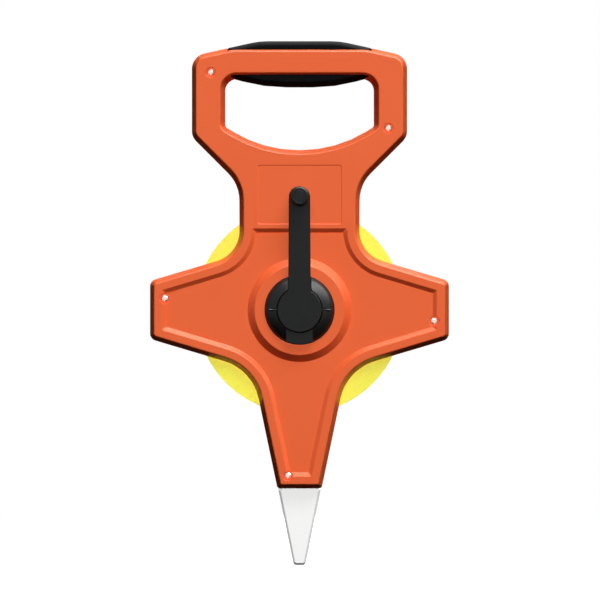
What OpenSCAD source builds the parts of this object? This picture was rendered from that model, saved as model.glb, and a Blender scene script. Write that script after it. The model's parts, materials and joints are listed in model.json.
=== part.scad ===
// Open-frame surveyor's tape reel with a folding crank and a ground spike.
// X runs across the frame, Y along the reel's axis from the crank side to the back, Z up the handle.
// The origin is the tip of the ground spike, on the plane where the two frame halves meet.

/* [Tape pack and drum] */
// Radius of the full tape pack
pack_r = 63; // [58:0.5:70]
// Width of the tape
tape_w = 13; // [10:0.5:18]
// Radius of the drum that the tape winds on
drum_r = 24.5; // [24:0.5:32]
// Radius of the frame's bearing bore
hub_r = 21; // [19:0.25:21.5]
// Free side room between the tape and the frame
side_room = 1.5; // [1:0.1:3]

/* [Frame body] */
// Width of the neck between reel and handle
neck_w = 72.4; // [66:0.2:78]
// Height of the side arms at their tips
arm_h = 35; // [30:0.5:42]
// How far the side arms reach past the tape pack
arm_tip = 27; // [26:0.5:36]
// Slope of the arms' upper and lower edges in degrees
arm_slope = 16.7; // [14:0.1:18]
// Radius between the neck and an arm
upper_fillet = 19; // [12:0.5:22]
// Radius between an arm and the leg
lower_fillet = 30; // [20:0.5:32]
// How far the leg reaches below the tape pack
leg_drop = 44.5; // [42:0.5:60]
// Width of the leg at its foot
leg_w = 26.6; // [25.6:0.2:32]
// Taper of each side of the leg in degrees
leg_taper = 11.9; // [9:0.1:13]
// Width of the raised rim round the sunk panel
rim_w = 7.5; // [5:0.1:8.5]
// Width of the slope from the rim down to the panel
slope_w = 2.4; // [1.5:0.1:3]
// How deep the panel is sunk below the rim
panel_depth = 2; // [1:0.1:3]
// How far the frame's walls reach in past its floor
skirt_d = 2.5; // [1.5:0.1:3.5]
// Width that the sloping side takes in the front view
edge_w = 3.4; // [2:0.1:4]
// Radius of the rounding between the face and the sloping side
edge_r = 1; // [0.6:0.1:2]
// Thickness of the frame's face walls
face_t = 3; // [2.5:0.1:3.4]
// Thickness of the frame's side walls
side_t = 3.2; // [3:0.1:4]
// Height of the ring round the bearing bore above the panel
ring_h = 4.6; // [3:0.1:6]
// Flat width of that ring's top
ring_flat = 6; // [4:0.1:7]
// Width of that ring's sloping flank
ring_flank = 4.2; // [2:0.1:5]

/* [Handle] */
// Outer width of the handle
handle_w = 129.6; // [126:0.2:136]
// Width of the finger opening
opening_w = 90; // [84:0.5:94]
// Height of the finger opening at its middle
opening_h = 43.5; // [38:0.5:52]
// Radius of the opening's curved lower edge
opening_sag_r = 75; // [70:1:90]
// Distance from the tape pack up to the opening
opening_gap = 33.3; // [32:0.1:40]
// Height of the frame's top bar
bar_h = 18.4; // [15:0.1:20]
// Slope of the handle's shoulders in degrees
shoulder_slope = 12.4; // [8:0.1:16]
// How far the grip stands above the top bar
grip_crown = 3.6; // [3:0.1:6]
// How far the grip hangs below the top bar
grip_belly = 4.9; // [3:0.1:7]
// Half length of the grip
grip_reach = 43; // [38:0.2:44]

/* [Ground spike] */
// Length of the blade below the leg
spike_len = 46.5; // [30:0.5:70]
// Width of the blade at the leg
spike_w = 25.8; // [24:0.2:26.2]
// Width of the blade at its blunt tip
spike_tip_w = 7; // [5:0.2:10]
// Thickness of the blade
spike_t = 4; // [3:0.1:5]
// Length of the tang inside the leg
tang_len = 27; // [22:0.5:30]

/* [Crank] */
// Distance from the reel's axis to the knob
crank_reach = 67.6; // [62:0.2:70]
// Width of the crank arm at the knob
crank_tip_w = 12.8; // [12:0.1:14]
// Width of the crank arm at the hub
crank_root_w = 13.6; // [12.8:0.1:14.6]
// Thickness of the crank arm
crank_t = 8; // [7:0.1:9]
// Radius of the flat front of the crank's ball-shaped root
crank_boss_r = 13; // [12.5:0.1:13.4]
// Height of the hub's dome
dome_h = 8.5; // [8:0.1:9.5]
// Radius of the hinge pin
hinge_pin_r = 0.8; // [0.7:0.05:1.2]
// Turn in degrees from the working place of the crank to its rest on the hub's heel
fold_turn = 155; // [150:1:165]
// Radius of the knob
knob_r = 5.7; // [5:0.1:6.2]
// Length of the knob
knob_len = 20; // [14:0.5:26]

/* [Tape end] */
// Length of the clip on the tape's end
clip_len = 11; // [9:0.5:14]
// Length of the end ring from its pin to its far edge
ring_len = 15.5; // [13:0.5:16]
// Radius of the nail hole in the end ring
nail_r = 2.6; // [2:0.1:3]

/* [Fasteners] */
// Radius of a frame screw's head
head_r = 2.5; // [2.2:0.1:2.7]
// Radius of a screw's shank
shank_r = 1.45; // [1.2:0.05:1.6]
// Radius of the posts that the screws run in
post_r = 4; // [3.6:0.1:4.4]

/* [Hidden] */

$fn = 64;
// Extra length that makes a cut pass through a face, and that one solid reaches into the next
through = 1;
lap = 0.8;
// Clearance of a shaft in its bore, of a fixed pin in its hole, and of pieces that pass each other
run_gap = 0.08;
fit_gap = 0.03;
pass_gap = 0.3;
// Largest turn in degrees between neighbouring points of a rounded corner, and the least corner radius
corner_step = 8;
least_r = 0.8;
// Steps across a rounded edge
edge_steps = 4;

// Depths, measured from the plane between the halves towards the viewer
clear_face = tape_w / 2 + side_room;
inner_face = clear_face + skirt_d;
panel_face = inner_face + face_t;
rim_face = panel_face + panel_depth;
edge_d = rim_face - clear_face;
ring_face = panel_face + ring_h;
// The hollow behind the rim stays below the panel's face, so that the panel's floor joins the rim
floor_lap = 0.4;
hollow_face = min(rim_face - face_t, panel_face - floor_lap);
hub_proud = 1.2;
hub_floor = ring_face + hub_proud;
hinge_depth = hub_floor + pass_gap + crank_t / 2;
arm_face = hinge_depth + crank_t / 2;
knob_face = arm_face + pass_gap + knob_len;

// Heights and reaches, measured from the reel's axis
arm_reach = pack_r + arm_tip;
foot_z = -(pack_r + leg_drop);
tip_z = foot_z - spike_len;
opening_low = pack_r + opening_gap;
opening_top = opening_low + opening_h;
bar_top = opening_top + bar_h;
grip_top = bar_top + grip_crown;
// The panel starts below the top of the pack, and its floor reaches under the rim
panel_drop = 14;
panel_top = pack_r - panel_drop;
panel_lap = 2;
// Room round the pack for the tape's end to sweep
end_sweep = 11;
clear_r = pack_r + end_sweep;

// Corners of the frame's outline as [x, z, radius], up the right-hand side
grip_tuck = 2.5;
handle_sill = 8;
foot_corner_r = 2;
tip_corner_r = 4.5;
neck_corner_r = 24;
handle_low_r = 8;
handle_top_r = 9.5;
shoulder_r = 30;
shoulder_x = grip_reach - grip_tuck;
shoulder_z = bar_top - (handle_w / 2 - shoulder_x) * tan(shoulder_slope);
handle_low_z = opening_low + handle_sill;
neck_top_z = handle_low_z - (handle_w - neck_w) / 2;
neck_low_z = arm_h / 2 + (arm_reach - neck_w / 2) * tan(arm_slope);
arm_run = (-arm_h / 2 - arm_reach * tan(arm_slope) - foot_z) * tan(leg_taper) + leg_w / 2;
leg_top_x = arm_run / (1 - tan(arm_slope) * tan(leg_taper));
leg_top_z = -arm_h / 2 - (arm_reach - leg_top_x) * tan(arm_slope);
body_corners = [
    [leg_top_x, leg_top_z, lower_fillet],
    [arm_reach, -arm_h / 2, tip_corner_r],
    [arm_reach, arm_h / 2, tip_corner_r],
    [neck_w / 2, neck_low_z, upper_fillet]
];
frame_corners = both_sides(concat(
    [[leg_w / 2, foot_z, foot_corner_r]],
    body_corners,
    [
        [neck_w / 2, neck_top_z, neck_corner_r],
        [handle_w / 2, handle_low_z, handle_low_r],
        [handle_w / 2, shoulder_z, handle_top_r],
        [shoulder_x, bar_top, shoulder_r]
    ]
));

// Corners of the finger opening, whose lower edge sags in one long arc
sag_slope = 31.5;
sag_x = opening_sag_r * tan(sag_slope / 2) + lap;
opening_low_r = 3.5;
opening_top_r = 7.2;
opening_side_z = opening_low + (opening_w / 2 - sag_x) * tan(sag_slope);
opening_corners = both_sides([
    [sag_x, opening_low, opening_sag_r],
    [opening_w / 2, opening_side_z, opening_low_r],
    [opening_w / 2, opening_top, opening_top_r]
]);

// Corners of the line where the frame's sunk panel would meet the frame's own edge
panel_corners = both_sides(concat(
    [[leg_w / 2, foot_z, foot_corner_r]],
    body_corners,
    [[neck_w / 2, panel_top + rim_w, least_r]]
));

// Corners of the grip, whose crown carries on the slope of the shoulders
grip_half_crown = shoulder_x - grip_crown / tan(shoulder_slope);
grip_belly_r = 100;
grip_crown_r = 45;
grip_corners = both_sides([
    [grip_reach / 2, opening_top - grip_belly, grip_belly_r],
    [grip_reach, opening_top + through, least_r],
    [grip_reach, bar_top - grip_tuck * tan(shoulder_slope), least_r],
    [grip_half_crown, grip_top, grip_crown_r]
]);
peg_x = 26;
peg_z = opening_top + bar_h / 2;
peg_r = 3;
grip_edge_w = 3;
grip_edge_d = 5;

// Corners of the spike's blade and of its tang
spike_tip_r = 2;
tang_corner_r = 3;
tang_side_room = 2.5;
bevel_w = 1.2;
bevel_d = 0.9;
spike_corners = both_sides([
    [spike_tip_w / 2, tip_z, spike_tip_r],
    [spike_w / 2, foot_z, least_r]
]);
tang_half_w = leg_w / 2 - tang_side_room;
tang_corners = both_sides([
    [tang_half_w, foot_z - bevel_w - least_r, least_r],
    [tang_half_w, foot_z + tang_len, tang_corner_r]
]);

// Corners of the shallow place for a label on the neck
label_depth = 0.5;
label_half_w = 25.2;
label_low = panel_top + 2.6;
label_top = opening_low - 9.3;
label_corner_r = 1.5;
label_corners = both_sides([
    [label_half_w, label_low, label_corner_r],
    [label_half_w, label_top, label_corner_r]
]);

// Screw places on a half seen from its own face, as [x, z, depth of the post's end]: two in the handle,
// one in each arm and one through the spike's tang
handle_screw_x = opening_w / 2 + 8.4;
arm_screw_x = arm_reach - 8.9;
arm_screw_z = 6.8;
foot_screw_x = 7;
screws = [
    [-handle_screw_x, opening_top + 3, 0],
    [handle_screw_x, handle_low_z + 4.9, 0],
    [-arm_screw_x, arm_screw_z, 0],
    [arm_screw_x, -arm_screw_z, 0],
    [-foot_screw_x, foot_z + foot_screw_x + lap, spike_t / 2]
];
// Room round each head in its recess
head_room = 0.5;
screw_seat = rim_face - 3.5;
screw_end = rim_face - 5;
head_h = 1.8;
cross_len = 2.8;
cross_w = 0.7;
cross_depth = 0.9;

// Places of the reel's inner pieces
journal_r = hub_r - run_gap;
washer_t = 0.7;
drum_half = inner_face - washer_t - pass_gap;
web_half = 1.5;
hub_back = web_half + fit_gap;
rear_hub_face = ring_face - lap;
dish_depth = 1.2;
hub_face_t = 4;
hub_post_r = 3.6;
hub_screw_ring = 12.5;
hub_screw_seat = rear_hub_face - 4;
hub_screw_end = 9;
washer_room = 0.4;
anchor_r = 0.95;
anchor_ring = (drum_r + hub_r) / 2;
slot_w = 0.8;

// The tape's outer turns wind over a plain core and leave it in a straight run down the left side
lead_t = 0.6;
lead_pitch = 1.2;
lead_turns = 2;
lead_steps = 44;
lead_end_r = pack_r - lead_t / 2;
lead_start_r = lead_end_r - lead_turns * lead_pitch;
core_r = lead_start_r - lead_t / 2 - pass_gap;
lead_points = [
    for (i = [0 : lead_turns * lead_steps])
        let (turn = i / lead_steps)
        (lead_start_r + lead_pitch * turn) * heading(180 + 360 * turn)
];
// Least gap between the ribbon's neighbouring turns, measured between points at least half a turn apart
lead_gap = min([
    for (i = [0 : len(lead_points) - 1])
        for (j = [i + lead_steps / 2 : 1 : len(lead_points) - 1])
            norm(lead_points[i] - lead_points[j]) - lead_t
]);
echo(tape_turn_gap_mm = lead_gap);

// The tape's end pieces, drawn with the straight run upright and then turned back up the left side
end_turn = 14;
clip_start = 4;
clip_wall = 0.6;
clip_half_w = tape_w / 2 + clip_wall;
clip_low = -clip_start - clip_len;
clip_out = pack_r + 2 * clip_wall;
clip_in = lead_end_r - lead_t / 2 - clip_wall + run_gap;
end_pin_r = 1;
knuckle_r = 1.9;
knuckle_half = 4.2;
end_pin_place = [clip_wall - clip_out, clip_low - knuckle_r - pass_gap];
plate_t = 1.6;
ring_half_w = 5.5;
nail_drop = ring_len - ring_half_w;

// The crank's hinge, the heel that the folded arm rests on, and the knob's small pieces
ball_r = norm([crank_boss_r, crank_t / 2]);
pocket_r = ball_r + pass_gap;
rest_slope = 180 - fold_turn;
heel_start = sqrt(pow(pocket_r, 2) - pow(crank_root_w / 2, 2));
heel_face = hinge_depth + heel_start * tan(rest_slope) - crank_t / 2 / cos(rest_slope) - pass_gap;
heel_w = 16;
dome_inset = 0.5;
dome_r = hub_r - dome_inset;
dome_steps = 9;
hinge_pin_half = hub_r - 2.6;
knob_pin_r = 2;
knob_head_r = 3;
knob_head_t = 1.4;
knob_cap_t = 1.8;
knob_cavity_r = 3.6;
knob_cavity = 5;
knob_flange = 1.5;
knob_waist = 0.5;
knob_round = 1.2;

// Vectors and outlines
function unit(v) = v / norm(v);
function left_of(v) = [-v[1], v[0]];
function heading(a) = [cos(a), sin(a)];
function flat(p) = [p[0], p[1]];
function both_sides(half) = concat(
    half,
    [for (i = [len(half) - 1 : -1 : 0]) [-half[i][0], half[i][1], half[i][2]]]
);
function before(p, i) = p[(i + len(p) - 1) % len(p)];
function after(p, i) = p[(i + 1) % len(p)];
function way_in(p, i) = unit(flat(p[i]) - flat(before(p, i)));
function way_out(p, i) = unit(flat(after(p, i)) - flat(p[i]));
function turn_at(p, i) = atan2(cross(way_in(p, i), way_out(p, i)), way_in(p, i) * way_out(p, i));

// Moves every corner of an anticlockwise outline inwards by d
function inset(p, d) = [
    for (i = [0 : len(p) - 1])
        let (
            a = left_of(way_in(p, i)),
            b = left_of(way_out(p, i)),
            q = flat(p[i]) + (a + b) * d / (1 + a * b),
            r = turn_at(p, i) > 0 ? max(p[i][2] - d, least_r) : p[i][2] + d
        )
        [q[0], q[1], r]
];

// Points of an outline whose corners are rounded by arcs
function rounded(p) = [
    for (i = [0 : len(p) - 1])
        let (
            turn = turn_at(p, i),
            start = flat(p[i]) - way_in(p, i) * p[i][2] * tan(abs(turn) / 2),
            spoke = -left_of(way_in(p, i)) * sign(turn) * p[i][2],
            steps = max(2, ceil(abs(turn) / corner_step))
        )
        for (k = [0 : steps])
            start - spoke + turned(spoke, turn * k / steps)
];
function turned(v, a) = [v[0] * cos(a) - v[1] * sin(a), v[0] * sin(a) + v[1] * cos(a)];

// Solid between outlines at increasing depth: each layer is [y, points], alike on both sides of x = 0
module skin(layers) {
    n = len(layers[0][1]);
    last = len(layers) - 1;
    points = [for (layer = layers) for (q = layer[1]) [q[0], layer[0], q[1]]];
    walls = [
        for (k = [0 : last - 1])
            for (i = [0 : n - 1])
                [k * n + i, k * n + (i + 1) % n, (k + 1) * n + (i + 1) % n, (k + 1) * n + i]
    ];
    near_cap = [for (i = [0 : n / 2 - 2]) [n - 1 - i, n - 2 - i, i + 1, i]];
    far_cap = [for (f = near_cap) [for (i = [3 : -1 : 0]) f[i] + last * n]];
    polyhedron(points, concat(near_cap, walls, far_cap));
}

// Layers of a front edge that starts w inside the outline at depth y, turns by radius r and then slopes
// out to the outline at depth y + d
function edge_layers(p, y, w, d, r) =
    let (
        reach = abs(w),
        edge_turn = atan2(d - r, reach) + asin(r / norm([reach, d - r]))
    )
    concat(
        [
            for (k = [0 : edge_steps])
                let (a = edge_turn * k / edge_steps)
                [y + r * (1 - cos(a)), rounded(inset(p, sign(w) * (reach - r * sin(a))))]
        ],
        [[y + d, rounded(p)]]
    );

// Extrudes a shape drawn in the front view from one depth to another
module slab(y0, y1) {
    translate([0, y1, 0])
        rotate([90, 0, 0])
            linear_extrude(y1 - y0)
                children();
}

// Round bar along Y at a place in the front view
module bar(place, r, y0, y1) {
    translate([place[0], y1, place[1]])
        rotate([90, 0, 0])
            cylinder(r = r, h = y1 - y0);
}

// Solid turned about Y from a profile of [radius, depth towards the viewer] points
module turned_solid(profile) {
    rotate([90, 0, 0])
        rotate_extrude()
            polygon(profile);
}

// One half of the frame, seen from its own face
module frame_half() {
    difference() {
        union() {
            difference() {
                frame_shell();
                panel_sink();
            }
            slab(-panel_face, -inner_face)
                polygon(rounded(inset(panel_corners, rim_w - panel_lap)));
            turned_solid([
                [hub_r - lap, inner_face],
                [hub_r + ring_flat + ring_flank, inner_face],
                [hub_r + ring_flat + ring_flank, panel_face],
                [hub_r + ring_flat, ring_face],
                [hub_r - lap, ring_face]
            ]);
            for (s = screws, side = [-1, 1])
                bar([side * s[0], s[1]], post_r, -panel_face, -s[2]);
        }
        skin(concat(
            [[-rim_face - through, rounded(inset(opening_corners, -edge_w))]],
            edge_layers(opening_corners, -rim_face, -edge_w, edge_d, edge_r),
            [[through, rounded(opening_corners)]]
        ));
        slab(-rim_face - through, -rim_face + label_depth)
            polygon(rounded(label_corners));
        bar([0, 0], hub_r, -ring_face - through, through);
        grip_pocket();
        slab(-spike_t / 2 - fit_gap, through)
            polygon(rounded(inset(tang_corners, -fit_gap)));
        for (s = screws) {
            bar(s, head_r + head_room, -rim_face - through, -screw_seat);
            bar(s, shank_r + run_gap, -rim_face, through);
            bar([-s[0], s[1]], shank_r + fit_gap, -screw_end - pass_gap, through);
        }
    }
    for (side = [-1, 1])
        bar([side * peg_x, peg_z], peg_r, -hollow_face - lap, -fit_gap);
}

// Hollow shell with a rounded front edge, cut away round the tape pack
module frame_shell() {
    difference() {
        skin(concat(
            edge_layers(frame_corners, -rim_face, edge_w, edge_d, edge_r),
            [[0, rounded(frame_corners)]]
        ));
        slab(-hollow_face, through)
            difference() {
                polygon(rounded(inset(frame_corners, side_t)));
                polygon(rounded(inset(opening_corners, -side_t)));
            }
        bar([0, 0], clear_r, -clear_face, through);
    }
}

// Sunk panel with sloping sides
module panel_sink() {
    rim = rounded(inset(panel_corners, rim_w));
    skin([
        [-rim_face - through, rim],
        [-rim_face, rim],
        [-panel_face, rounded(inset(panel_corners, rim_w + slope_w))]
    ]);
}

// Room for the grip between the two top bars
module grip_pocket() {
    slab(-hollow_face, through)
        polygon(rounded(inset(grip_corners, -pass_gap)));
}

module front_frame() {
    color("#e5673f") frame_half();
}

module rear_frame() {
    color("#e5673f") rotate([0, 0, 180]) frame_half();
}

// Rubber grip held between the top bars on the frame's pegs
module grip() {
    front = edge_layers(grip_corners, fit_gap - hollow_face, grip_edge_w, grip_edge_d, grip_edge_w);
    back = [for (k = [len(front) - 1 : -1 : 0]) [-front[k][0], front[k][1]]];
    color("#292a2a")
        difference() {
            skin(concat(front, back));
            for (side = [-1, 1])
                bar([side * peg_x, peg_z], peg_r + run_gap, -hollow_face, hollow_face);
        }
}

// Plated steel blade with bevelled edges and a drilled tang
module ground_spike() {
    blade = rounded(spike_corners);
    ground = rounded(inset(spike_corners, bevel_w));
    color("#e4e6e8")
        difference() {
            union() {
                skin([
                    [-spike_t / 2, ground],
                    [bevel_d - spike_t / 2, blade],
                    [spike_t / 2 - bevel_d, blade],
                    [spike_t / 2, ground]
                ]);
                slab(-spike_t / 2, spike_t / 2)
                    polygon(rounded(tang_corners));
            }
            for (side = [-1, 1])
                bar([side * foot_screw_x, screws[4][1]], shank_r + pass_gap, -spike_t, spike_t);
        }
}

// Cross-head screw whose head sits at one depth and whose shank runs back to another
module screw(place, seat, end) {
    difference() {
        union() {
            bar(place, head_r, -seat - head_h, -seat);
            bar(place, shank_r, -seat - lap, end);
        }
        for (a = [0, 90])
            translate([place[0], -seat - head_h, place[1]])
                rotate([0, a, 0])
                    cube([cross_len, 2 * cross_depth, cross_w], center = true);
    }
}

module front_screws() {
    color("#d8dadb")
        for (s = screws)
            screw(s, screw_seat, screw_end);
}

module rear_screws() {
    color("#d8dadb")
        rotate([0, 0, 180])
            for (s = screws)
                screw(s, screw_seat, screw_end);
}

module thrust_washer() {
    color("#e9e6da")
        turned_solid([
            [hub_r + washer_room, inner_face - washer_t],
            [drum_r - washer_room, inner_face - washer_t],
            [drum_r - washer_room, inner_face],
            [hub_r + washer_room, inner_face]
        ]);
}

module front_thrust_washer() {
    thrust_washer();
}

module rear_thrust_washer() {
    rotate([0, 0, 180]) thrust_washer();
}

// Hollow behind a hub's face, left standing round the screw posts
module hub_hollow(face) {
    difference() {
        bar([0, 0], journal_r - face_t, -face + hub_face_t, through);
        hub_holes(hub_post_r, -face, 2 * through);
    }
}

module hub_holes(r, y0, y1) {
    for (a = [0 : 120 : 240])
        bar(hub_screw_ring * heading(90 + a), r, y0, y1);
}

// Front hub: it runs in the frame's bore and carries the crank in a ball-shaped pocket in its dome
module crank_hub() {
    dome_top = max(hub_floor + dome_h, heel_face) + through;
    groove_half = hinge_pin_r + fit_gap;
    groove_reach = hinge_pin_half + pass_gap;
    color("#232424")
        difference() {
            union() {
                turned_solid(concat(
                    [[0, hub_back], [journal_r, hub_back], [journal_r, hub_floor]],
                    [
                        for (k = [0 : dome_steps])
                            let (a = 90 * k / dome_steps)
                            [dome_r * cos(a), hub_floor + dome_h * sin(a)]
                    ]
                ));
                slab(-heel_face, lap - hub_floor)
                    intersection() {
                        circle(dome_r);
                        translate([-heel_w / 2, -hub_r])
                            square([heel_w, hub_r]);
                    }
            }
            bar([0, 0], pocket_r, -dome_top, -hinge_depth);
            translate([0, -hinge_depth, 0])
                sphere(pocket_r);
            translate([-crank_root_w / 2 - pass_gap, -dome_top, 0])
                cube([crank_root_w + 2 * pass_gap, dome_top - hub_floor, hub_r]);
            translate([-heel_w / 2, -dome_top, -hub_r])
                cube([heel_w, dome_top - heel_face, hub_r]);
            translate([0, -hinge_depth, 0])
                rotate([0, 90, 0])
                    cylinder(r = groove_half, h = 2 * groove_reach, center = true);
            translate([-groove_reach, -dome_top, -groove_half])
                cube([2 * groove_reach, dome_top - hinge_depth, 2 * groove_half]);
            difference() {
                translate([0, -hub_back, 0]) hub_hollow(hub_floor - hub_back);
                translate([0, -hinge_depth, 0]) sphere(pocket_r + face_t);
            }
            hub_holes(shank_r + fit_gap, -hub_screw_end - pass_gap, through);
        }
}

// Drum that the tape winds on, with a keyhole slot for the tape's inner end
module drum_core() {
    color("#3a3b3b")
        difference() {
            bar([0, 0], drum_r, -drum_half, drum_half);
            bar([0, 0], hub_r + fit_gap, -drum_half - through, -web_half);
            bar([0, 0], hub_r + fit_gap, web_half, drum_half + through);
            hub_holes(shank_r + pass_gap, -drum_half, drum_half);
            bar([0, anchor_ring], anchor_r + run_gap, -drum_half - through, drum_half + through);
            translate([-slot_w / 2, -drum_half - through, anchor_ring])
                cube([slot_w, 2 * (drum_half + through), drum_r]);
        }
}

// Back hub: it runs in the back half's bore and clamps the drum to the front hub
module rear_hub() {
    dish = rear_hub_face - dish_depth;
    color("#232424")
        rotate([0, 0, 180])
            difference() {
                turned_solid([
                    [0, hub_back],
                    [journal_r, hub_back],
                    [journal_r, rear_hub_face - lap],
                    [journal_r - lap, rear_hub_face],
                    [journal_r - face_t, rear_hub_face],
                    [journal_r - face_t - dish_depth, dish],
                    [0, dish]
                ]);
                translate([0, -hub_back, 0]) hub_hollow(dish - hub_back);
                hub_holes(shank_r + pass_gap, -rear_hub_face, through);
                hub_holes(head_r + pass_gap, -rear_hub_face, -hub_screw_seat);
            }
}

module hub_screws() {
    color("#d8dadb")
        rotate([0, 0, 180])
            for (a = [0 : 120 : 240])
                screw(hub_screw_ring * heading(90 + a), hub_screw_seat, hub_screw_end);
}

module tape_anchor_pin() {
    color("#c9ccce") bar([0, anchor_ring], anchor_r, -tape_w / 2, tape_w / 2);
}

// Wound body of the tape below its outer turns, with the inner end reaching into the drum's slot
module tape_pack() {
    tongue = anchor_ring + anchor_r + fit_gap;
    color("#fafa50") {
        difference() {
            bar([0, 0], core_r, -tape_w / 2, tape_w / 2);
            bar([0, 0], drum_r + fit_gap, -tape_w, tape_w);
        }
        translate([-lead_t / 2, -tape_w / 2, tongue])
            cube([lead_t, tape_w, drum_r + lap - tongue]);
    }
}

// Outer turns of the tape, one ribbon that leaves the pack in a straight run to the end clip
module tape_lead() {
    half = lead_t / 2;
    outer = [for (q = lead_points) q + unit(q) * half];
    inner = [for (i = [len(lead_points) - 1 : -1 : 0]) lead_points[i] - unit(lead_points[i]) * half];
    run_end = clip_low + lap;
    color("#fafa50")
        rotate([0, end_turn, 0])
            slab(-tape_w / 2, tape_w / 2)
                polygon(concat(
                    outer,
                    [[-lead_end_r - half, run_end], [-lead_end_r + half, run_end]],
                    inner
                ));
}

// Crimped clip on the tape's end, with two lugs for the ring's pin
module end_clip() {
    lug_h = clip_low + lap - end_pin_place[1];
    color("#c9ccce")
        rotate([0, end_turn, 0])
            difference() {
                union() {
                    translate([-clip_out, -clip_half_w, clip_low])
                        cube([clip_out - clip_in, 2 * clip_half_w, clip_len]);
                    for (side = [-1, 1])
                        intersection() {
                            translate([0, side * (clip_half_w + knuckle_half + pass_gap), 0])
                                cube([4 * pack_r, 2 * clip_half_w, pack_r], center = true);
                            union() {
                                bar(end_pin_place, knuckle_r, -clip_half_w, clip_half_w);
                                translate([-clip_out, -clip_half_w, end_pin_place[1]])
                                    cube([clip_out - clip_in, 2 * clip_half_w, lug_h]);
                            }
                        }
                }
                translate([-lead_end_r - lead_t / 2 - fit_gap, -tape_w / 2 - fit_gap, clip_low + lap])
                    cube([lead_t + 2 * fit_gap, tape_w + 2 * fit_gap, clip_len]);
                bar(end_pin_place, end_pin_r + fit_gap, -tape_w, tape_w);
            }
}

module end_ring_pin() {
    color("#c9ccce")
        rotate([0, end_turn, 0])
            bar(end_pin_place, end_pin_r, -clip_half_w, clip_half_w);
}

// Stamped ring that hangs from the clip's pin, with a hole to catch a nail
module end_ring() {
    pin = turned(end_pin_place, -end_turn);
    color("#c9ccce")
        translate([pin[0], 0, pin[1]])
            difference() {
                union() {
                    bar([0, 0], knuckle_r, -knuckle_half, knuckle_half);
                    rotate([90, 0, 90])
                        linear_extrude(plate_t, center = true) {
                            translate([-knuckle_half, -ring_len / 2])
                                square([2 * knuckle_half, ring_len / 2]);
                            translate([-ring_half_w, -nail_drop])
                                square([2 * ring_half_w, nail_drop - knuckle_r - 2]);
                            translate([0, -nail_drop])
                                circle(ring_half_w);
                        }
                }
                bar([0, 0], end_pin_r + run_gap, -tape_w, tape_w);
                translate([0, 0, -nail_drop])
                    rotate([0, 90, 0])
                        cylinder(r = nail_r, h = 4 * plate_t, center = true);
            }
}

// Folding crank: a flattened ball on the hinge pin, and an arm that carries the knob's pin
module crank_arm() {
    back = crank_t - arm_face;
    color("#292a2a")
        difference() {
            union() {
                intersection() {
                    bar([0, 0], 2 * ball_r, -arm_face, back);
                    translate([0, -hinge_depth, 0])
                        sphere(ball_r);
                }
                slab(-arm_face, back) {
                    polygon([
                        [crank_root_w / 2, 0],
                        [crank_tip_w / 2, crank_reach],
                        [-crank_tip_w / 2, crank_reach],
                        [-crank_root_w / 2, 0]
                    ]);
                    translate([0, crank_reach])
                        circle(crank_tip_w / 2);
                }
            }
            translate([0, -hinge_depth, 0])
                rotate([0, 90, 0])
                    cylinder(r = hinge_pin_r + run_gap, h = 4 * crank_boss_r, center = true);
            bar([0, crank_reach], knob_pin_r + fit_gap, -arm_face - through, 0);
            bar([0, crank_reach], knob_head_r + run_gap, back - knob_head_t, 0);
        }
}

module crank_hinge_pin() {
    color("#c9ccce")
        translate([0, -hinge_depth, 0])
            rotate([0, 90, 0])
                cylinder(r = hinge_pin_r, h = 2 * hinge_pin_half, center = true);
}

// Steel pin with one head sunk in the arm's back and the other inside the knob
module knob_pin() {
    back = crank_t - arm_face - fit_gap;
    front_head = knob_cavity - knob_face - pass_gap;
    color("#c9ccce") {
        bar([0, crank_reach], knob_head_r, back - knob_head_t + 2 * fit_gap, back);
        bar([0, crank_reach], knob_pin_r, front_head, back);
        bar([0, crank_reach], knob_head_r, front_head - knob_head_t, front_head);
    }
}

// Knob that turns on the pin, slightly waisted, with a rounded front edge
module crank_knob() {
    foot = arm_face + pass_gap;
    color("#292a2a")
        translate([0, 0, crank_reach])
            difference() {
                turned_solid(concat(
                    [
                        [0, foot],
                        [knob_r, foot],
                        [knob_r, foot + knob_flange],
                        [knob_r - knob_waist, foot + 2 * knob_flange],
                        [knob_r - knob_waist, knob_face - 3 * knob_flange]
                    ],
                    [
                        for (k = [0 : edge_steps])
                            let (a = 90 * k / edge_steps)
                            [knob_r - knob_round * (1 - cos(a)), knob_face - knob_round * (1 - sin(a))]
                    ],
                    [[0, knob_face]]
                ));
                bar([0, 0], knob_pin_r + run_gap, -knob_face, 0);
                bar([0, 0], knob_cavity_r, -knob_face - through, knob_cavity - knob_face);
            }
}

module knob_cap() {
    color("#1f2020")
        bar([0, crank_reach], knob_cavity_r - fit_gap, -knob_face, knob_cap_t - knob_face);
}

// Stands the tip of the spike on the origin
module placed() {
    translate([0, 0, -tip_z])
        children();
}

placed() front_frame();
placed() rear_frame();
placed() grip();
placed() ground_spike();
placed() front_screws();
placed() rear_screws();
placed() front_thrust_washer();
placed() rear_thrust_washer();
placed() crank_hub();
placed() drum_core();
placed() rear_hub();
placed() hub_screws();
placed() tape_anchor_pin();
placed() tape_pack();
placed() tape_lead();
placed() end_clip();
placed() end_ring_pin();
placed() end_ring();
placed() crank_arm();
placed() crank_hinge_pin();
placed() knob_pin();
placed() crank_knob();
placed() knob_cap();
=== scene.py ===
# %% [markdown]
# # A surveyor's open tape reel
# The real object is a long yellow tape on a drum, held between two orange frame halves. A black grip
# fills the top of the handle, a steel spike stands below the leg, and a folding crank winds the tape in.
# The construction model holds every piece at its true size and place, so this lesson only dresses it:
# it rounds the moulded edges, winds the tape turn by turn, makes real screws, and gives each surface
# the finish of its material.

# %% Load the construction model as a fixed frame
import json
import math

import bpy
from mathutils import Matrix, Vector


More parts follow.
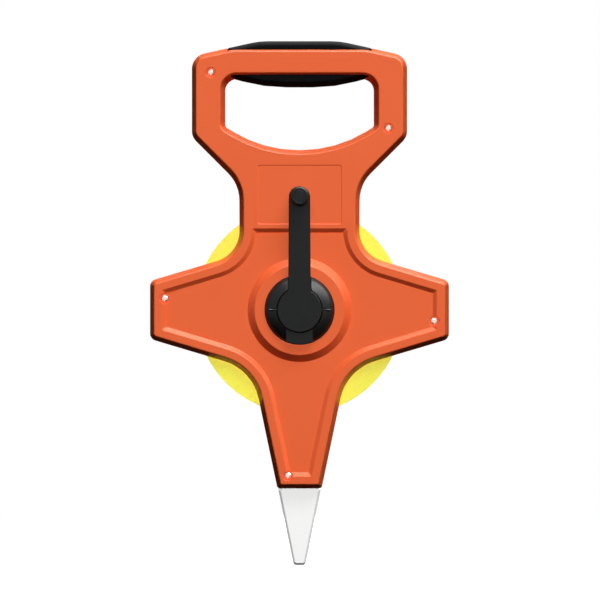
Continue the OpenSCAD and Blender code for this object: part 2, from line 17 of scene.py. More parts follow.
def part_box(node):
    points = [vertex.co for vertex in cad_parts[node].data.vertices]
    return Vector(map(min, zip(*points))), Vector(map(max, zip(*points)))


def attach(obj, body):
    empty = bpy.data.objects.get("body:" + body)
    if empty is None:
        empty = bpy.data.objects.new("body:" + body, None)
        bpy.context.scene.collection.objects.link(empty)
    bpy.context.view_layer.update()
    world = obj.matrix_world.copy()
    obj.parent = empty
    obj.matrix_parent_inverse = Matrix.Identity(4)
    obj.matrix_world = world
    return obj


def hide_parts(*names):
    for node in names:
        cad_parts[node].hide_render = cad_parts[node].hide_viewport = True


MM = 0.001
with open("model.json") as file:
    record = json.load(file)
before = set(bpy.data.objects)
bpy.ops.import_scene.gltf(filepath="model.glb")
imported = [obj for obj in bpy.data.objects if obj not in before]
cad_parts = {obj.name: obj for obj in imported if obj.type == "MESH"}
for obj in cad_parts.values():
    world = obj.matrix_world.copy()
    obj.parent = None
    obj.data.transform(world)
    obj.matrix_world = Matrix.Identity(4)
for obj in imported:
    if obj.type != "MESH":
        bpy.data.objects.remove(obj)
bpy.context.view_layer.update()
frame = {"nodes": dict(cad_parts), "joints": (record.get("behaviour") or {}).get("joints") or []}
hinges = {joint["name"]: joint for joint in frame["joints"]}
axis_height = hinges["reel_spin"]["pos_m"][2]
print("nodes", len(frame["nodes"]), "reel axis at", round(axis_height / MM, 1), "mm")

# %% [markdown]
# ## Camera
# The picture looks straight at the crank side from far away: no side wall shows, so a long lens from a
# few metres is right. One pixel is 0.6 mm on the rim of the frame, which gives the lens from the
# distance. The camera stands a little above the reel's axis, because the handle is taller than the leg.

# %% Camera
PIXEL = 0.6 * MM
IMAGE_PX = (600, 602)
CAMERA_DISTANCE = 2.6
CAMERA_ASIDE = 0.3 * MM
CAMERA_ABOVE_AXIS = 5.4 * MM
SENSOR_MM = 36
camera_data = bpy.data.cameras.new("camera")
camera_data.sensor_width = SENSOR_MM
camera_data.lens = SENSOR_MM * CAMERA_DISTANCE / (max(IMAGE_PX) * PIXEL)
camera = bpy.data.objects.new("camera", camera_data)
bpy.context.scene.collection.objects.link(camera)
rim_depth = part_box("front_frame")[0].y
camera.location = (CAMERA_ASIDE, rim_depth - CAMERA_DISTANCE, axis_height + CAMERA_ABOVE_AXIS)
camera.rotation_euler = (math.radians(90), 0, 0)
bpy.context.scene.camera = camera
bpy.context.scene.view_settings.view_transform = "Standard"
print("lens", round(camera_data.lens, 1), "mm")

# %% [markdown]
# ## Colours and nodes
# Colours are written as sRGB hex values, as a paint program shows them, while the renderer works with
# linear light. One function turns the first into the second. Another adds one node: it sets the node's
# own options, then feeds its inputs, either with a link or with a plain value. A third starts a
# material and sets what is the same all over its surface.

# %% Helpers for colours and nodes
def linear(hex_code):
    channels = [int(hex_code[i:i + 2], 16) / 255 for i in (1, 3, 5)]
    return [c / 12.92 if c <= 0.04045 else ((c + 0.055) / 1.055) ** 2.4 for c in channels] + [1]


def add_node(tree, kind, feeds, **settings):
    node = tree.nodes.new("ShaderNode" + kind)
    for name, value in settings.items():
        setattr(node, name, value)
    for name, value in feeds.items():
        if isinstance(value, bpy.types.NodeSocket):
            tree.links.new(value, node.inputs[name])
        else:
            node.inputs[name].default_value = value
    return node


def start_material(name, constants):
    material = bpy.data.materials.new(name)
    material.use_nodes = True
    shader = material.node_tree.nodes["Principled BSDF"]
    for socket, value in constants.items():
        shader.inputs[socket].default_value = value
    return material, material.node_tree, shader


# %% [markdown]
# ## Studio
# In the picture, slopes that face up are light, those that face right keep half their tone, and those
# that face down or left are nearly black, so a soft lamp stands high in front, a little to the right.
# Cast shadows hardly show, so most of the light comes from a twin lamp at the same place that casts
# none. A third lamp stands behind, for the back of the reel, and mirror rays don't see it, so it leaves
# no glint on the edges that face up.

# %% Lamps
target = Vector((0, 0, axis_height))


def soft_lamp(name, way, distance, width, power, shadow=True, mirrored=True):
    data = bpy.data.lights.new(name, "AREA")
    data.size = width
    data.energy = power
    data.use_shadow = shadow
    lamp = bpy.data.objects.new(name, data)
    lamp.visible_glossy = mirrored
    way = Vector(way).normalized()
    lamp.location = target + way * distance
    lamp.rotation_euler = (-way).to_track_quat("-Z", "Y").to_euler()
    bpy.context.scene.collection.objects.link(lamp)
    print(name, [round(c, 2) for c in lamp.location])


KEY_WAY = (0.33, -1, 0.98)
soft_lamp("key_lamp", way=KEY_WAY, distance=8, width=3.6, power=210)
soft_lamp("fill_lamp", way=KEY_WAY, distance=8, width=3.6, power=680, shadow=False)
soft_lamp("back_lamp", way=(-0.2, 1, 0.35), distance=8, width=4, power=660, mirrored=False)

# %% [markdown]
# ## Room
# Gloss shows the room, so the room shapes the streaks on the slopes. It could be built from white cards,
# but a world shader needs no extra objects. It is white for the camera and for clear things. For
# reflections it is white in front and falls to black behind and below, which keeps the lower edges
# dark. A brighter ceiling panel high on the right gives the light streaks on the slopes that face up.

# %% Room
AMBIENT = 0.04
CEILING_PANEL = 12
PANEL_WAY = (0.35, -0.1, 0.93)
world = bpy.data.worlds.new("studio")
bpy.context.scene.world = world
world.use_nodes = True
room = world.node_tree
way = add_node(room, "TexCoord", {}).outputs["Generated"]
heading = add_node(room, "SeparateXYZ", {"Vector": way}).outputs
ahead = add_node(room, "MapRange", {"Value": heading["Y"], "From Min": -0.1, "From Max": 0.3,
                                    "To Min": 1, "To Max": 0})
raised = add_node(room, "MapRange", {"Value": heading["Z"], "From Min": -0.35, "From Max": -0.04,
                                     "To Min": 0.03, "To Max": 1})
overhead = add_node(room, "VectorMath", {0: way, 1: PANEL_WAY}, operation="DOT_PRODUCT")
panel = add_node(room, "MapRange", {"Value": overhead.outputs["Value"], "From Min": 0.6,
                                    "From Max": 0.92, "To Min": 0, "To Max": CEILING_PANEL})
graded = add_node(room, "Math", {0: ahead.outputs["Result"], 1: raised.outputs["Result"],
                                 2: panel.outputs["Result"]}, operation="MULTIPLY_ADD")
rays = add_node(room, "LightPath", {})
seen = add_node(room, "Math", {0: rays.outputs["Is Camera Ray"],
                               1: rays.outputs["Is Transmission Ray"]}, operation="MAXIMUM")
mirrored = add_node(room, "Mix", {0: rays.outputs["Is Glossy Ray"], 2: AMBIENT,
                                  3: graded.outputs["Value"]})
level = add_node(room, "Mix", {0: seen.outputs["Value"], 2: mirrored.outputs[0], 3: 1.0})
room.links.new(level.outputs[0], room.nodes["Background"].inputs["Strength"])
room.nodes["Background"].inputs["Color"].default_value = (1, 1, 1, 1)
print("room shader", len(room.nodes), "nodes")

# %% [markdown]
# ## Floor
# The floor is a round sheet at the spike's tip, pale where the camera sees it. Its white is half lamp
# light and half its own, so a shadow still shows, and it grows to plain white at its rim, where it
# meets the white room. Light that bounces off it is kept low, because the picture has none from below,
# and mirror rays pass through it, so that metal and gloss show the room's own fall to black.

# %% Floor
FLOOR_RADIUS = 0.6
FLOOR_FADE_FROM = 0.35
bpy.ops.object.select_all(action="DESELECT")
bpy.ops.mesh.primitive_circle_add(vertices=128, radius=FLOOR_RADIUS, fill_type="NGON")
floor = bpy.context.object
floor.name = "floor"
floor.visible_glossy = False
floor_paint, tree, shader = start_material("pale_studio_floor", {"Roughness": 1, "Specular IOR Level": 0,
                                                                 "Emission Color": (1, 1, 1, 1)})
rays = add_node(tree, "LightPath", {})
seen = add_node(tree, "Math", {0: rays.outputs["Is Camera Ray"],
                               1: rays.outputs["Is Transmission Ray"]}, operation="MAXIMUM")
place = add_node(tree, "TexCoord", {}).outputs["Object"]
reach = add_node(tree, "VectorMath", {0: place}, operation="LENGTH").outputs["Value"]
glow = add_node(tree, "MapRange", {"Value": reach, "From Min": FLOOR_FADE_FROM,
                                   "From Max": FLOOR_RADIUS, "To Min": 0.5, "To Max": 1})
glow_seen = add_node(tree, "Mix", {0: seen.outputs["Value"], 2: 0.0, 3: glow.outputs["Result"]})
tree.links.new(glow_seen.outputs[0], shader.inputs["Emission Strength"])
grain = add_node(tree, "TexNoise", {"Vector": place, "Scale": 1 / (20 * MM)})
pale = add_node(tree, "Mix", {0: grain.outputs["Fac"], 6: linear("#e9e9e8"), 7: linear("#eeeeee")},
                data_type="RGBA")
shown = add_node(tree, "Mix", {0: seen.outputs["Value"], 6: linear("#303030"), 7: pale.outputs[2]},
                 data_type="RGBA")
tree.links.new(shown.outputs[2], shader.inputs["Base Color"])
floor.data.materials.append(floor_paint)
print("floor", FLOOR_RADIUS, "m in radius")

# %% [markdown]
# ## Moulded plastics
# Each material starts from what the real one is. The orange is moulded ABS: a satin skin with a fine
# spark-eroded grain from the mould, and a faint drift of tone where the melt flowed. The black of the
# hub and crank is moulded nylon, and the grip is softer rubber with a pebbled skin. All three differ
# only in colours, gloss and grain, so one function makes them.

# %% Moulded plastics
GRAIN_DEPTH = 0.06 * MM


def moulded(name, constants, tones, flow_mm, grain_mm, gloss, bump, pebbled=False):
    # The skin gives an even colour; its grain breaks the gloss, drawn coarser than life so that it shows.
    material, tree, shader = start_material(name, constants)
    place = add_node(tree, "TexCoord", {}).outputs["Object"]
    flow = add_node(tree, "TexNoise", {"Vector": place, "Scale": 1 / (flow_mm * MM), "Detail": 3})
    tone = add_node(tree, "Mix", {0: flow.outputs["Fac"], 6: linear(tones[0]), 7: linear(tones[1])},
                    data_type="RGBA")
    tree.links.new(tone.outputs[2], shader.inputs["Base Color"])
    scale = {"Vector": place, "Scale": 1 / (grain_mm * MM)}
    if pebbled:
        grain = add_node(tree, "TexVoronoi", scale, feature="SMOOTH_F1").outputs["Distance"]
    else:
        grain = add_node(tree, "TexNoise", scale).outputs["Fac"]
    rough = add_node(tree, "MapRange", {"Value": grain, "To Min": gloss[0], "To Max": gloss[1]})
    tree.links.new(rough.outputs["Result"], shader.inputs["Roughness"])
    relief = add_node(tree, "Bump", {"Height": grain, "Strength": bump, "Distance": GRAIN_DEPTH})
    tree.links.new(relief.outputs["Normal"], shader.inputs["Normal"])
    return material


orange_abs = moulded("moulded_abs_orange", {"IOR": 1.53, "Specular IOR Level": 0.3},
                     ("#e05d2e", "#e46434"), 45, 0.9, (0.34, 0.46), 0.1)
black_nylon = moulded("moulded_nylon_black", {"IOR": 1.53, "Specular IOR Level": 0.16},
                      ("#111212", "#151616"), 20, 0.8, (0.28, 0.38), 0.1)
black_rubber = moulded("moulded_rubber_black", {"IOR": 1.5, "Specular IOR Level": 0.04},
                       ("#040405", "#060607"), 15, 1.4, (0.42, 0.55), 0.2, pebbled=True)
acetal = moulded("turned_acetal_white", {"IOR": 1.48, "Specular IOR Level": 0.4},
                 ("#e4e1d4", "#eceadf"), 6, 0.7, (0.3, 0.4), 0.05)
print("plastics", [plastic.name for plastic in (orange_abs, black_nylon, black_rubber, acetal)])

# %% [markdown]
# ## Steels
# A metal has hardly any colour of its own: it shows the room, spread out by fine lines from rolling,
# drawing or plating. The spike is nickel-plated plate with lines along its length. The screws are
# zinc-plated. The small pins are drawn wire, and the crank's hinge pin is blackened so that it doesn't
# rust in the hub, which is why only a thin light line of it shows.

# %% Steels
LINE_DEPTH = 0.02 * MM
LINE_STRENGTH = 0.05


def bright_steel(name, tones, gloss, line_mm, metallic=0.8):
    # The lines stretch each reflection across them; at true width they would be too fine to see. A
    # satin plating also scatters a part of the light, so the metal isn't black where the room is dark.
    material, tree, shader = start_material(name, {"Metallic": metallic})
    place = add_node(tree, "TexCoord", {}).outputs["Object"]
    drawn = add_node(tree, "Mapping", {"Vector": place, "Scale": [1 / (mm * MM) for mm in line_mm]})
    lines = add_node(tree, "TexNoise", {"Vector": drawn.outputs["Vector"], "Scale": 1})
    tone = add_node(tree, "Mix", {0: lines.outputs["Fac"], 6: linear(tones[0]), 7: linear(tones[1])},
                    data_type="RGBA")
    tree.links.new(tone.outputs[2], shader.inputs["Base Color"])
    rough = add_node(tree, "MapRange", {"Value": lines.outputs["Fac"], "To Min": gloss[0],
                                        "To Max": gloss[1]})
    tree.links.new(rough.outputs["Result"], shader.inputs["Roughness"])
    relief = add_node(tree, "Bump", {"Height": lines.outputs["Fac"], "Strength": LINE_STRENGTH,
                                     "Distance": LINE_DEPTH})
    tree.links.new(relief.outputs["Normal"], shader.inputs["Normal"])
    return material


plated_steel = bright_steel("nickel_plated_steel", ("#f9f9f8", "#ffffff"), (0.1, 0.18), (0.6, 0.6, 20),
                            metallic=0.4)
zinc_steel = bright_steel("zinc_plated_steel", ("#f2d6c6", "#f8dfd1"), (0.15, 0.25), (0.5, 0.5, 0.5))
drawn_steel = bright_steel("drawn_steel", ("#b9bcbe", "#c9ccce"), (0.25, 0.4), (0.4, 4, 0.4))
blackened_steel = bright_steel("blackened_steel", ("#1a1b1c", "#222324"), (0.3, 0.42), (4, 0.4, 0.4))
print("steels", [steel.name for steel in (plated_steel, zinc_steel, drawn_steel, blackened_steel)])

# %% [markdown]
# ## Rounding what is moulded
# A moulded piece has no knife edges, but a construction model is full of them. A piece whose shape is
# right is copied, its loose triangles are merged, its flats are made into large faces, and every sharp
# edge is bevelled by a fraction of a millimetre. A face can't have a hole, so a flat with holes is first
# cut through them along seams, which the merging then leaves alone. The bevel is narrow, so smooth
# shading alone would smear it over the flats: a Weighted Normal modifier lets the large faces rule and
# keeps them flat. The copy then stands for the node, which stays underneath for motion and collision.

# %% Copy, round and place a piece
MERGE_WITHIN = 0.002 * MM
FLAT_WITHIN = math.radians(0.3)
SHARP_FROM = math.radians(32)
SMOOTH_UP_TO = math.radians(60)


def only(piece):
    bpy.ops.object.select_all(action="DESELECT")
    piece.select_set(True)
    bpy.context.view_layer.objects.active = piece


def edit(piece, kind="EDGE"):
    only(piece)
    bpy.ops.object.mode_set(mode="EDIT")
    bpy.ops.mesh.select_mode(type=kind)
    bpy.ops.mesh.select_all(action="SELECT")


def apply_modifier(piece, kind, **settings):
    only(piece)
    modifier = piece.modifiers.new(kind.lower(), kind)
    for name, value in settings.items():
        setattr(modifier, name, value)
    bpy.ops.object.modifier_apply(modifier=modifier.name)


def merged_copy(node, name):
    piece = bpy.data.objects.new(name, frame["nodes"][node].data.copy())
    bpy.context.scene.collection.objects.link(piece)
    edit(piece)
    bpy.ops.mesh.remove_doubles(threshold=MERGE_WITHIN)
    bpy.ops.mesh.customdata_custom_splitnormals_clear()
    bpy.ops.object.mode_set(mode="OBJECT")
    return piece


def merge_flats(piece, hole_columns):
    edit(piece)
    for x in hole_columns:
        bpy.ops.mesh.select_all(action="SELECT")
        bpy.ops.mesh.bisect(plane_co=(x * MM, 0, 0), plane_no=(1, 0, 0))
        bpy.ops.mesh.mark_seam()
    bpy.ops.mesh.select_all(action="SELECT")
    bpy.ops.mesh.dissolve_limited(angle_limit=FLAT_WITHIN, delimit={"SEAM"})
    bpy.ops.object.mode_set(mode="OBJECT")


def smooth(piece):
    only(piece)
    bpy.ops.object.shade_smooth_by_angle(angle=SMOOTH_UP_TO)
    apply_modifier(piece, "WEIGHTED_NORMAL", keep_sharp=True)


def round_edges(piece, width):
    edit(piece)
    bpy.ops.mesh.select_all(action="DESELECT")
    bpy.ops.mesh.edges_select_sharp(sharpness=SHARP_FROM)
    bpy.ops.mesh.bevel(offset=width, segments=2, affect="EDGES", clamp_overlap=False)
    bpy.ops.object.mode_set(mode="OBJECT")
    smooth(piece)


def place_piece(piece, body, slot, material, *nodes):
    piece.data.materials.clear()
    piece.data.materials.append(material)
    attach(piece, body)
    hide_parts(*nodes)
    print(piece.name, "faces", len(piece.data.polygons))


def dress(node, name, body, slot, material, width_mm, hole_columns=(0,)):
    piece = merged_copy(node, name)
    merge_flats(piece, hole_columns)
    round_edges(piece, width_mm * MM)
    place_piece(piece, body, slot, material, node)
    return piece


# %% [markdown]
# ## Frame, spike and grip
# The two frame halves are one moulding, screwed together back to back, with the grip and the spike's
# tang caught between them. Their flats are cut by seams through the screw holes, and the construction
# model's own screws tell where these are, so no place is measured twice.

# %% Places of the screws in the construction model
def screw_places(node):
    rough = merged_copy(node, "screw_places")
    edit(rough)
    bpy.ops.mesh.separate(type="LOOSE")
    bpy.ops.object.mode_set(mode="OBJECT")
    boxes = []
    for part in list(bpy.context.selected_objects):
        corners = [vertex.co for vertex in part.data.vertices]
        boxes.append([Vector([pick(c[i] for c in corners) for i in range(3)]) for pick in (min, max)])
        bpy.data.objects.remove(part)
    return sorted(boxes, key=lambda box: (round(box[0].x / MM), round(box[0].z / MM)))


# %% Frame halves, spike and grip
# Columns in millimetres that run through the screw holes, the grip's pegs and the middle openings
PEG_COLUMNS = [-26, 26]
screw_columns = {x for low, high in screw_places("front_screws") for x in (low.x + high.x, -low.x - high.x)}
frame_columns = [0] + PEG_COLUMNS + sorted(x / 2 / MM for x in screw_columns)
dress("front_frame", "front_shell", "frame", "orange_abs", orange_abs, 0.22, frame_columns)
dress("rear_frame", "rear_shell", "frame", "orange_abs", orange_abs, 0.22, frame_columns)
spike = dress("ground_spike", "spike_blade", "frame", "plated_steel", plated_steel, 0.15, frame_columns)
# The picture has a dark edge above the spike, so the bright blade throws no light back at the leg
spike.visible_glossy = spike.visible_diffuse = False
dress("grip", "hand_grip", "frame", "black_rubber", black_rubber, 0.3, PEG_COLUMNS)
for side in ("front", "rear"):
    dress(side + "_thrust_washer", side + "_washer_ring", "frame", "acetal", acetal, 0.1)

# %% [markdown]
# ## Hub, drum and crank
# The black pieces turn: a domed hub and a back hub clamp the drum, and the crank hinges in the dome.
# They are moulded like the frame, so each is a rounded copy too, and a table holds what differs.

# %% Hub, drum, crank and knob
HUB_SCREW_X = 10.825
hub_columns = (0, -HUB_SCREW_X, HUB_SCREW_X)
for node, name, body, width_mm, columns in (
    ("crank_hub", "hub_dome", "reel", 0.12, hub_columns),
    ("rear_hub", "hub_back", "reel", 0.25, hub_columns),
    ("drum_core", "tape_drum", "reel", 0.15, hub_columns),
    ("crank_arm", "crank_lever", "crank", 0.15, (0,)),
    ("crank_knob", "winding_knob", "knob", 0.15, (0,)),
    ("knob_cap", "winding_knob_cap", "knob", 0.2, ()),
):
    dress(node, name, body, "black_nylon", black_nylon, width_mm, columns)

# %% [markdown]
# ## Pins, clip and ring
# Short pins carry the crank, the knob and the ring at the tape's end, which hooks over a nail. They are
# cut from drawn wire and pressed plate, so their edges are only broken. Each copy is cut by one seam
# through its own middle before its flats are merged.

# %% Pins, clip and ring
dress("crank_hinge_pin", "hinge_pin", "reel", "pin_steel", blackened_steel, 0.15)
for node, name, body, width_mm in (
    ("knob_pin", "knob_rivet", "crank", 0.15),
    ("end_clip", "tape_clip", "reel", 0.12),
    ("end_ring_pin", "ring_pin", "reel", 0.15),
    ("end_ring", "nail_ring", "tape_end", 0.2),
    ("tape_anchor_pin", "anchor_pin", "reel", 0.15),
):
    pin_column = sum(corner.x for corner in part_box(node)) / 2 / MM
    dress(node, name, body, "pin_steel", drawn_steel, width_mm, (pin_column,))

# %% [markdown]
# ## Screws
# The halves are held by five pan-head screws from each side, and the two hubs by three from the back.
# One screw is modelled at the origin: a short cylinder whose rim is rounded into a pan head, a cross
# cut into it by a Boolean, and a shank extruded from its inset back face. The construction model says
# where each one sits, so its screws are taken apart and the new one is copied to each place.

# %% One pan-head screw
HEAD_R, HEAD_H = 2.5 * MM, 1.8 * MM
SHANK_R = 1.45 * MM
CROSS_LEN, CROSS_W, CROSS_DEPTH = 2.8 * MM, 0.7 * MM, 0.9 * MM
PAN_ROUND = 1.6 * MM
TIP_CHAMFER = 0.4 * MM


def pick_faces(piece, wanted):
    bpy.ops.object.mode_set(mode="OBJECT")
    edit(piece, "FACE")
    bpy.ops.mesh.select_all(action="DESELECT")
    bpy.ops.object.mode_set(mode="OBJECT")
    for face in piece.data.polygons:
        face.select = wanted(face)
    bpy.ops.object.mode_set(mode="EDIT")


def cross_cutter():
    blades = []
    for turn in (0, 90):
        bpy.ops.mesh.primitive_cube_add(size=1, location=(0, -HEAD_H, 0),
                                        rotation=(0, math.radians(turn), 0),
                                        scale=(CROSS_LEN, 2 * CROSS_DEPTH, CROSS_W))
        blades.append(bpy.context.object)
        bpy.ops.object.transform_apply(location=True, rotation=True, scale=True)
    apply_modifier(blades[0], "BOOLEAN", operation="UNION", solver="EXACT", object=blades[1])
    bpy.data.objects.remove(blades[1])
    return blades[0]


def pan_head_screw(length):
    bpy.ops.mesh.primitive_cylinder_add(vertices=32, radius=HEAD_R, depth=HEAD_H,
                                        location=(0, -HEAD_H / 2, 0),
                                        rotation=(math.radians(90), 0, 0))
    screw = bpy.context.object
    bpy.ops.object.transform_apply(location=True, rotation=True, scale=True)
    pick_faces(screw, lambda face: face.normal.y < -0.9)
    bpy.ops.mesh.bevel(offset=PAN_ROUND, segments=6, affect="EDGES")
    pick_faces(screw, lambda face: face.normal.y > 0.9)
    bpy.ops.mesh.inset(thickness=HEAD_R - SHANK_R)
    bpy.ops.mesh.extrude_region_move(TRANSFORM_OT_translate={"value": (0, length, 0)})
    bpy.ops.mesh.bevel(offset=TIP_CHAMFER, segments=1, affect="EDGES")
    bpy.ops.object.mode_set(mode="OBJECT")
    cutter = cross_cutter()
    apply_modifier(screw, "BOOLEAN", operation="DIFFERENCE", solver="EXACT", object=cutter)
    bpy.data.objects.remove(cutter)
    smooth(screw)
    return screw


# %% Copy the screw to its places
def set_screws(node, name, body, from_back):
    places = screw_places(node)
    low, high = places[0]
    screw = pan_head_screw(high.y - low.y - HEAD_H)
    turn = Matrix.Rotation(math.radians(180), 4, "Z") if from_back else Matrix()
    seat = high.y - HEAD_H if from_back else low.y + HEAD_H
    copies = []
    for low, high in places:
        copy = bpy.data.objects.new(name, screw.data.copy())
        bpy.context.scene.collection.objects.link(copy)
        middle = (low + high) / 2
        copy.data.transform(Matrix.Translation((middle.x, seat, middle.z)) @ turn)
        copies.append(copy)
    bpy.data.objects.remove(screw)
    only(copies[0])
    for copy in copies:
        copy.select_set(True)
    bpy.ops.object.join()
    place_piece(copies[0], body, "zinc_screw", zinc_steel, node)
    print(name, "places", len(copies))


set_screws("front_screws", "front_screw_set", "frame", from_back=False)
set_screws("rear_screws", "rear_screw_set", "frame", from_back=True)
set_screws("hub_screws", "hub_screw_set", "reel", from_back=True)

# %% [markdown]
# ## The wound tape
# Thirty metres of coated fibreglass tape lie on the drum in one long spiral, held at the drum by a
# tongue under a pin and ending in a straight run under the clip. A spin gives circles, not a spiral, so
# the path is a chain of points worked out turn by turn, extruded across the tape's width and given its
# thickness by a Solidify modifier. The real tape is 0.34 mm thick; here a turn is drawn a little under
# twice as thick, so that the turns show. Each turn sits a hair further left or right than the last, as
# a hand-wound tape does.

# %% Path of the tape
TURN_PITCH = 0.62 * MM
TAPE_T = 0.56 * MM
STEPS_PER_TURN = 72
END_ANGLE = 180 - 14
END_RADIUS = 62.7 * MM
RUN_LENGTH = 14.2 * MM
TONGUE_ANGLE = 90
TONGUE_SINK, TONGUE_LENGTH = 0.3 * MM, 0.4 * MM
pack_low, pack_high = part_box("tape_lead")
tape_width = pack_high.y - pack_low.y
drum_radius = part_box("drum_core")[1].x
spare_turn = (END_ANGLE - TONGUE_ANGLE) / 360
turns = math.floor((END_RADIUS - drum_radius - TAPE_T) / TURN_PITCH - spare_turn) + spare_turn


def on_spiral(turns_back):
    angle = math.radians(END_ANGLE - 360 * turns_back)
    radius = END_RADIUS - TURN_PITCH * turns_back
    sway = 0.09 * math.sin(2.3 * turns_back) + 0.06 * math.sin(7.1 * turns_back)
    return Vector((radius * math.cos(angle), sway * MM, radius * math.sin(angle)))


steps = math.ceil(turns * STEPS_PER_TURN)
path = [on_spiral(turns * i / steps) for i in range(steps + 1)]
leaving = Vector((-math.sin(math.radians(END_ANGLE)), 0, math.cos(math.radians(END_ANGLE))))
path = [path[0] + leaving * RUN_LENGTH, path[0] + leaving * RUN_LENGTH / 2] + path
tongue_top = Vector((0, 0, drum_radius - TONGUE_SINK))
path += [tongue_top, tongue_top - Vector((0, 0, TONGUE_LENGTH))]
print("turns", round(turns, 2), "inner radius", round(path[-3].z / MM, 2), "mm, points", len(path))

# %% Tape from its path
along = [0.0]
for before, after in zip(path, path[1:]):
    along.append(along[-1] + (after - before).length)
tape_mesh = bpy.data.meshes.new("wound_tape")
lifted = [point + Vector((0, -tape_width / 2, axis_height)) for point in path]
tape_mesh.from_pydata(lifted, [(i, i + 1) for i in range(len(lifted) - 1)], [])
tape = bpy.data.objects.new("wound_tape", tape_mesh)
bpy.context.scene.collection.objects.link(tape)
edit(tape)
bpy.ops.mesh.extrude_edges_move(TRANSFORM_OT_translate={"value": (0, tape_width, 0)})
bpy.ops.mesh.select_all(action="SELECT")
bpy.ops.mesh.normals_make_consistent(inside=False)
bpy.ops.object.mode_set(mode="OBJECT")
print("tape drawn", round(along[-1], 2), "m long,", round(tape_width / MM, 1), "mm wide")

# %% [markdown]
# The printed marks need to know how far along the tape a point lies. A UV map holds that: across it
# runs the distance from the tape's end in metres, and up it the place between the two edges. It is set
# before the thickness is added, so both faces of the tape and its cut edges carry it.

# %% Length along the tape as a UV map, then thickness
count = len(path)
measure = tape.data.uv_layers.new(name="measure")
for loop in tape.data.loops:
    index = loop.vertex_index
    measure.data[loop.index].uv = (along[index % count], index // count)
apply_modifier(tape, "SOLIDIFY", thickness=TAPE_T, offset=0, use_even_offset=False)
only(tape)
bpy.ops.object.shade_smooth_by_angle(angle=SHARP_FROM)
print("tape mesh", len(tape.data.polygons), "faces")

# %% [markdown]
# ## The tape's coat and marks
# The glass threads are sheathed in yellow PVC and printed with a mark for each centimetre, a longer one
# for each five and a red one for each ten. Thousands of marks as meshes would be heavy, so the shader
# draws them from the UV map: the remainder of the length after each spacing tells where a mark lies.

# %% Coated fibreglass tape
MARK_BLACK, MARK_RED = "#16160f", "#b01c12"


def coated_fibreglass_yellow():
    # A bright yellow PVC coat with a soft gloss, printed with black marks and a red one each decimetre.
    material, tree, shader = start_material("pvc_coated_fibreglass_yellow",
                                            {"IOR": 1.52, "Specular IOR Level": 0.35, "Roughness": 0.42})
    uv = add_node(tree, "UVMap", {}, uv_map="measure").outputs["UV"]
    split = add_node(tree, "SeparateXYZ", {"Vector": uv})
    length, across = split.outputs["X"], split.outputs["Y"]
    place = add_node(tree, "TexCoord", {}).outputs["Object"]
    cloud = add_node(tree, "TexNoise", {"Vector": place, "Scale": 1 / (9 * MM), "Detail": 3})
    coat = add_node(tree, "Mix", {0: cloud.outputs["Fac"], 6: linear("#f4ee52"), 7: linear("#f8f460")},
                    data_type="RGBA").outputs[2]
    for spacing, width, reach, ink in ((10, 0.5, 0.28, MARK_BLACK), (50, 0.7, 0.45, MARK_BLACK),
                                       (100, 0.9, 0.97, MARK_RED)):
        shifted = add_node(tree, "Math", {0: length, 1: width / 2 * MM}, operation="ADD")
        beat = add_node(tree, "Math", {0: shifted.outputs["Value"], 1: spacing * MM}, operation="MODULO")
        on_mark = add_node(tree, "Math", {0: beat.outputs["Value"], 1: width * MM}, operation="LESS_THAN")
        inside = add_node(tree, "Math", {0: across, 1: reach / 2 + 0.015, 2: reach / 2},
                          operation="COMPARE")
        both = add_node(tree, "Math", {0: on_mark.outputs["Value"], 1: inside.outputs["Value"]},
                        operation="MULTIPLY")
        coat = add_node(tree, "Mix", {0: both.outputs["Value"], 6: coat, 7: linear(ink)},
                        data_type="RGBA").outputs[2]
    tree.links.new(coat, shader.inputs["Base Color"])
    weave = add_node(tree, "TexNoise", {"Vector": place, "Scale": 1 / (0.6 * MM)})
    relief = add_node(tree, "Bump", {"Height": weave.outputs["Fac"], "Strength": 0.1,
                                     "Distance": 0.03 * MM})
    tree.links.new(relief.outputs["Normal"], shader.inputs["Normal"])
    return material


place_piece(tape, "reel", "yellow_tape", coated_fibreglass_yellow(), "tape_pack", "tape_lead")

# %% [markdown]
# ## Numbers on the tape
# A tape is read by its numbers, one for each centimetre from its end. Only the outer turn shows, so only
# that one gets them. Each number is a text object turned into a very thin mesh, whose points are then
# laid round the turn: the length along the tape gives the turn, and the turn gives the place.

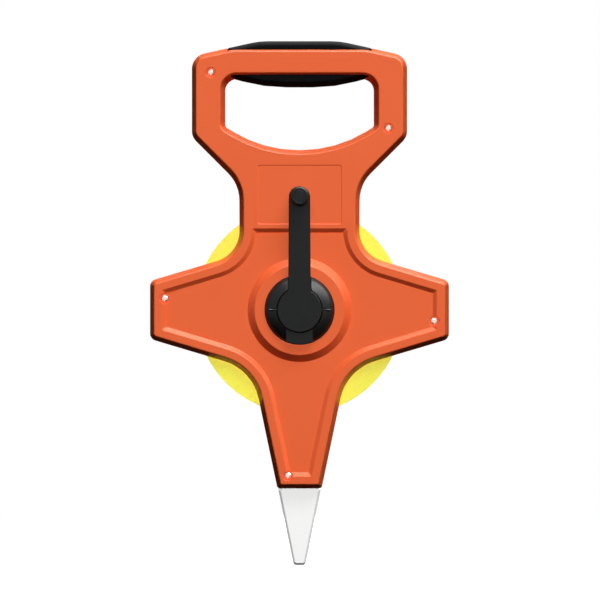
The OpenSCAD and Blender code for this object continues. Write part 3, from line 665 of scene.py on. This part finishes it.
# %% Numbers on the outer turn
NUMBER_SIZE = 5 * MM
INK_T = 0.03 * MM
PLACE_ACROSS = 2.6 * MM
CENTIMETRE = 10 * MM
AFTER_MARK = 1 * MM
FIRST_NUMBER, LAST_NUMBER = 2, 36


def lay_on_tape(point, start):
    length = start + point.x - RUN_LENGTH
    inside = END_RADIUS ** 2 - TURN_PITCH * length / math.pi
    spot = on_spiral((END_RADIUS - math.sqrt(inside)) / TURN_PITCH)
    outwards = Vector((spot.x, 0, spot.z)).normalized()
    return spot + outwards * (TAPE_T / 2 + point.z) + Vector((0, point.y, axis_height))


numbers = []
for count_cm in range(FIRST_NUMBER, LAST_NUMBER + 1):
    bpy.ops.object.text_add()
    number = bpy.context.object
    number.data.body = str(count_cm)
    number.data.size = NUMBER_SIZE
    number.data.extrude = INK_T / 2
    number.data.resolution_u = 3
    number.data.align_y = "CENTER"
    number.data.offset_y = PLACE_ACROSS
    bpy.ops.object.convert(target="MESH")
    for vertex in number.data.vertices:
        vertex.co = lay_on_tape(vertex.co, count_cm * CENTIMETRE + AFTER_MARK)
    numbers.append(number)
only(numbers[0])
for number in numbers:
    number.select_set(True)
bpy.ops.object.join()
numbers[0].name = "tape_numbers"
edit(numbers[0])
bpy.ops.mesh.remove_doubles(threshold=MERGE_WITHIN)
bpy.ops.object.mode_set(mode="OBJECT")

# %% Ink of the numbers
def printed_ink():
    # Black printing ink gives a dull, slightly uneven black, a little browner where it lies thin.
    material, tree, shader = start_material("printing_ink_black", {"Roughness": 0.6,
                                                                   "Specular IOR Level": 0.2})
    place = add_node(tree, "TexCoord", {}).outputs["Object"]
    thin = add_node(tree, "TexNoise", {"Vector": place, "Scale": 1 / (1.5 * MM), "Detail": 3})
    ink = add_node(tree, "Mix", {0: thin.outputs["Fac"], 6: linear("#12120d"), 7: linear("#23221a")},
                   data_type="RGBA")
    tree.links.new(ink.outputs[2], shader.inputs["Base Color"])
    return material


numbers[0].data.materials.clear()
numbers[0].data.materials.append(printed_ink())
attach(numbers[0], "reel")
print("numbers", len(numbers), "faces", len(numbers[0].data.polygons))
